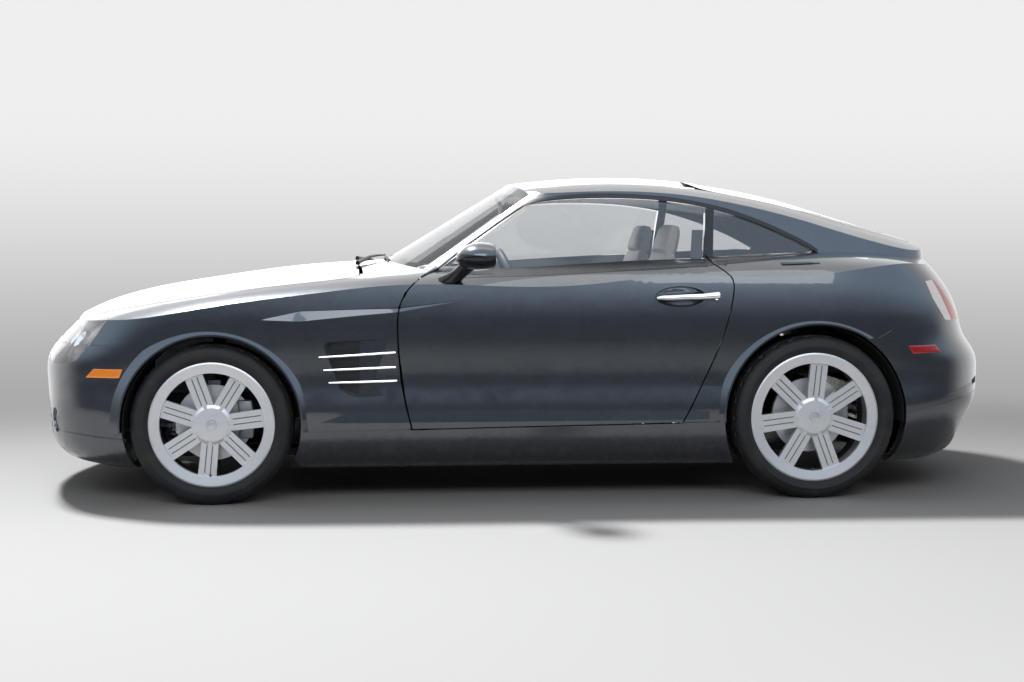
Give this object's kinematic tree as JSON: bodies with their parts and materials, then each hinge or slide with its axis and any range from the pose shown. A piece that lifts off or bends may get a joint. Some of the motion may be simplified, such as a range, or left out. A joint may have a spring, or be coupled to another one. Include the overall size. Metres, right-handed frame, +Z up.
{
  "type": "two-seat fastback coupe car",
  "caption": "Two-seat fastback coupe car with a long bonnet, boat-tail hatch, spoked alloy wheels, opening doors, lids and steered front wheels.",
  "frame": {"origin": "on the ground under the middle of the car's length and width", "axes": "+X to the tail, -Y to the car's left, +Z up"},
  "size_m": [4.0579, 2.084, 1.307],
  "materials": {
    "body_paint": "gloss metallic",
    "glass": "clear, light green tint",
    "grille_metal": "satin",
    "dark_plastic": "matte",
    "lamp_clear": "clear lens",
    "lamp_red": "gloss",
    "cabin_trim": "matte",
    "chassis_steel": "satin black",
    "cast_metal": "as cast",
    "exhaust_steel": "satin",
    "seat_leather": "soft",
    "tyre_rubber": "matte",
    "rim_silver": "silver satin"
  },
  "bodies": {
    "body_shell": {"front_bumper": "body_paint", "grille": "grille_metal", "lower_grille": "dark_plastic", "roof": "body_paint", "windscreen": "glass", "rear_bumper": "body_paint", "fender_left": "body_paint", "fender_right": "body_paint", "headlamp_left": "lamp_clear", "headlamp_right": "lamp_clear", "sill_left": "body_paint", "sill_right": "body_paint", "quarter_panel_left": "body_paint", "quarter_panel_right": "body_paint", "quarter_glass_left": "glass", "quarter_glass_right": "glass", "tail_lamp_left": "lamp_red", "tail_lamp_right": "lamp_red", "floor_pan": "dark_plastic", "dashboard": "cabin_trim", "front_subframe": "chassis_steel", "rear_axle": "chassis_steel", "engine_block": "cast_metal", "exhaust": "exhaust_steel", "seat_left": "seat_leather", "seat_right": "seat_leather", "steering_wheel": "cabin_trim"},
    "bonnet": {"bonnet": "body_paint"},
    "tailgate": {"tailgate": "body_paint", "rear_glass": "glass"},
    "door_left": {"door_left": "body_paint", "door_glass_left": "glass", "mirror_left": "body_paint"},
    "door_right": {"door_right": "body_paint", "door_glass_right": "glass", "mirror_right": "body_paint"},
    "knuckle_front_left": {"knuckle_front_left": "cast_metal"},
    "knuckle_front_right": {"knuckle_front_right": "cast_metal"},
    "wheel_front_left": {"tyre_front_left": "tyre_rubber", "rim_front_left": "rim_silver"},
    "wheel_front_right": {"tyre_front_right": "tyre_rubber", "rim_front_right": "rim_silver"},
    "wheel_rear_left": {"tyre_rear_left": "tyre_rubber", "rim_rear_left": "rim_silver"},
    "wheel_rear_right": {"tyre_rear_right": "tyre_rubber", "rim_rear_right": "rim_silver"}
  },
  "joints": [
    {"name": "steer_left", "type": "hinge", "parent": "body_shell", "child": "knuckle_front_left", "pos_m": [-1.266, -0.7, 0.317], "axis": [0, 0, 1], "range_deg": [-32, 32]},
    {"name": "steer_right", "type": "hinge", "parent": "body_shell", "child": "knuckle_front_right", "pos_m": [-1.266, 0.7, 0.317], "axis": [0, 0, 1], "range_deg": [-32, 32]},
    {"name": "spin_front_left", "type": "hinge", "parent": "knuckle_front_left", "child": "wheel_front_left", "pos_m": [-1.266, -0.7465, 0.317], "axis": [0, 1, 0], "continuous": true},
    {"name": "spin_front_right", "type": "hinge", "parent": "knuckle_front_right", "child": "wheel_front_right", "pos_m": [-1.266, 0.7465, 0.317], "axis": [0, 1, 0], "continuous": true},
    {"name": "spin_rear_left", "type": "hinge", "parent": "body_shell", "child": "wheel_rear_left", "pos_m": [1.134, -0.751, 0.329], "axis": [0, 1, 0], "continuous": true},
    {"name": "spin_rear_right", "type": "hinge", "parent": "body_shell", "child": "wheel_rear_right", "pos_m": [1.134, 0.751, 0.329], "axis": [0, 1, 0], "continuous": true},
    {"name": "door_left_hinge", "type": "hinge", "parent": "body_shell", "child": "door_left", "pos_m": [-0.455, -0.838, 0.6], "axis": [0, 0, -1], "range_deg": [0, 60]},
    {"name": "door_right_hinge", "type": "hinge", "parent": "body_shell", "child": "door_right", "pos_m": [-0.455, 0.838, 0.6], "axis": [0, 0, 1], "range_deg": [0, 60]},
    {"name": "bonnet_hinge", "type": "hinge", "parent": "body_shell", "child": "bonnet", "pos_m": [-0.77, 0, 0.88], "axis": [0, 1, 0], "range_deg": [0, 50]},
    {"name": "tailgate_hinge", "type": "hinge", "parent": "body_shell", "child": "tailgate", "pos_m": [0.77, 0, 1.222], "axis": [0, -1, 0], "range_deg": [0, 60]}
  ],
  "couplings": [
    {"joint": "steer_right", "follows": "steer_left", "ratio": 1}
  ]
}
